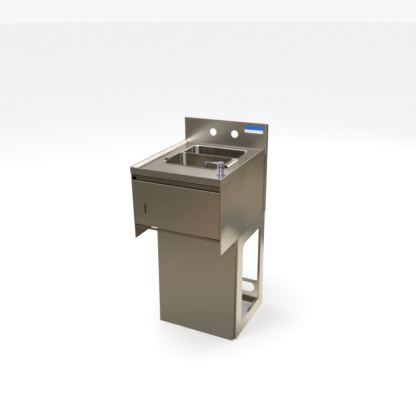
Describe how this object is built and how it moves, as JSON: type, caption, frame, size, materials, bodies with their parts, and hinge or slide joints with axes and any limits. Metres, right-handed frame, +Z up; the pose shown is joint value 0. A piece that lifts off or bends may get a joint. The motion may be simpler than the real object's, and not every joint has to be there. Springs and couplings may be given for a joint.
{
  "type": "underbar hand sink",
  "caption": "Narrow stainless underbar hand sink on a pedestal, with towel cabinet door, press soap pump and lift-out strainer basket.",
  "frame": {"origin": "centre of the bounding box, on the floor", "axes": "+Z up, -Y towards the person at the sink, +X to their right"},
  "size_m": [0.381, 0.484, 0.876],
  "materials": {
    "stainless_sheet": "fine brushed stainless",
    "stainless_stile": "brushed stainless in shade",
    "stainless_frame": "fine brushed stainless",
    "chrome_plate": "polished",
    "zinc_steel": "zinc plated",
    "black_rubber": "moulded",
    "black_magnet": "moulded housing",
    "raw_brass": "as cast",
    "white_plastic": "satin"
  },
  "bodies": {
    "cabinet": {"deck_top": "stainless_sheet", "backsplash": "stainless_sheet", "rear_stile_left": "stainless_stile", "rear_stile_right": "stainless_stile", "side_panel_left": "stainless_sheet", "side_panel_right": "stainless_sheet", "sink_bowl": "stainless_sheet", "drain_flange": "chrome_plate", "drain_gasket": "black_rubber", "drain_locknut": "raw_brass", "drain_coupling_nut": "chrome_plate", "drain_tailpiece": "chrome_plate", "top_rail": "stainless_sheet", "towel_box_back": "stainless_sheet", "towel_tray": "stainless_sheet", "tray_studs": "zinc_steel", "tray_nuts": "zinc_steel", "towel_divider": "stainless_sheet", "door_pivot_pins": "zinc_steel", "door_catch": "black_magnet", "leg_frame_left": "stainless_frame", "leg_frame_right": "stainless_frame", "front_crossmember": "stainless_stile", "rear_crossmember": "stainless_frame", "pedestal_front": "stainless_sheet", "frame_studs": "zinc_steel", "frame_nuts": "zinc_steel", "soap_flange": "chrome_plate", "soap_collar": "chrome_plate", "soap_shank": "white_plastic", "soap_washer": "black_rubber", "soap_locknut": "white_plastic", "soap_bottle": "white_plastic", "pump_housing": "white_plastic", "dip_tube": "white_plastic", "pump_spring": "zinc_steel"},
    "towel_door": {"towel_door": "stainless_sheet"},
    "pump_press": {"pump_rod": "zinc_steel"},
    "pump_head": {"pump_head": "chrome_plate", "pump_skirt": "chrome_plate"},
    "strainer_basket": {"strainer_basket": "stainless_sheet"}
  },
  "joints": [
    {"name": "towel_door_hinge", "type": "hinge", "parent": "cabinet", "child": "towel_door", "pos_m": [0, -0.235, 0.544], "axis": [1, 0, 0], "range_deg": [0, 80]},
    {"name": "pump_stroke", "type": "slide", "parent": "cabinet", "child": "pump_press", "axis": [0, 0, -1], "range_m": [0, 0.012], "stiffness_N_per_m": 300, "springref_m": -0.01, "deforming": ["pump_spring"]},
    {"name": "nozzle_swivel", "type": "hinge", "parent": "pump_press", "child": "pump_head", "pos_m": [0.1525, -0.16, 0.79], "axis": [0, 0, 1], "continuous": true},
    {"name": "basket_lift", "type": "slide", "parent": "cabinet", "child": "strainer_basket", "axis": [0, 0, 1], "range_m": [0, 0.12]}
  ]
}
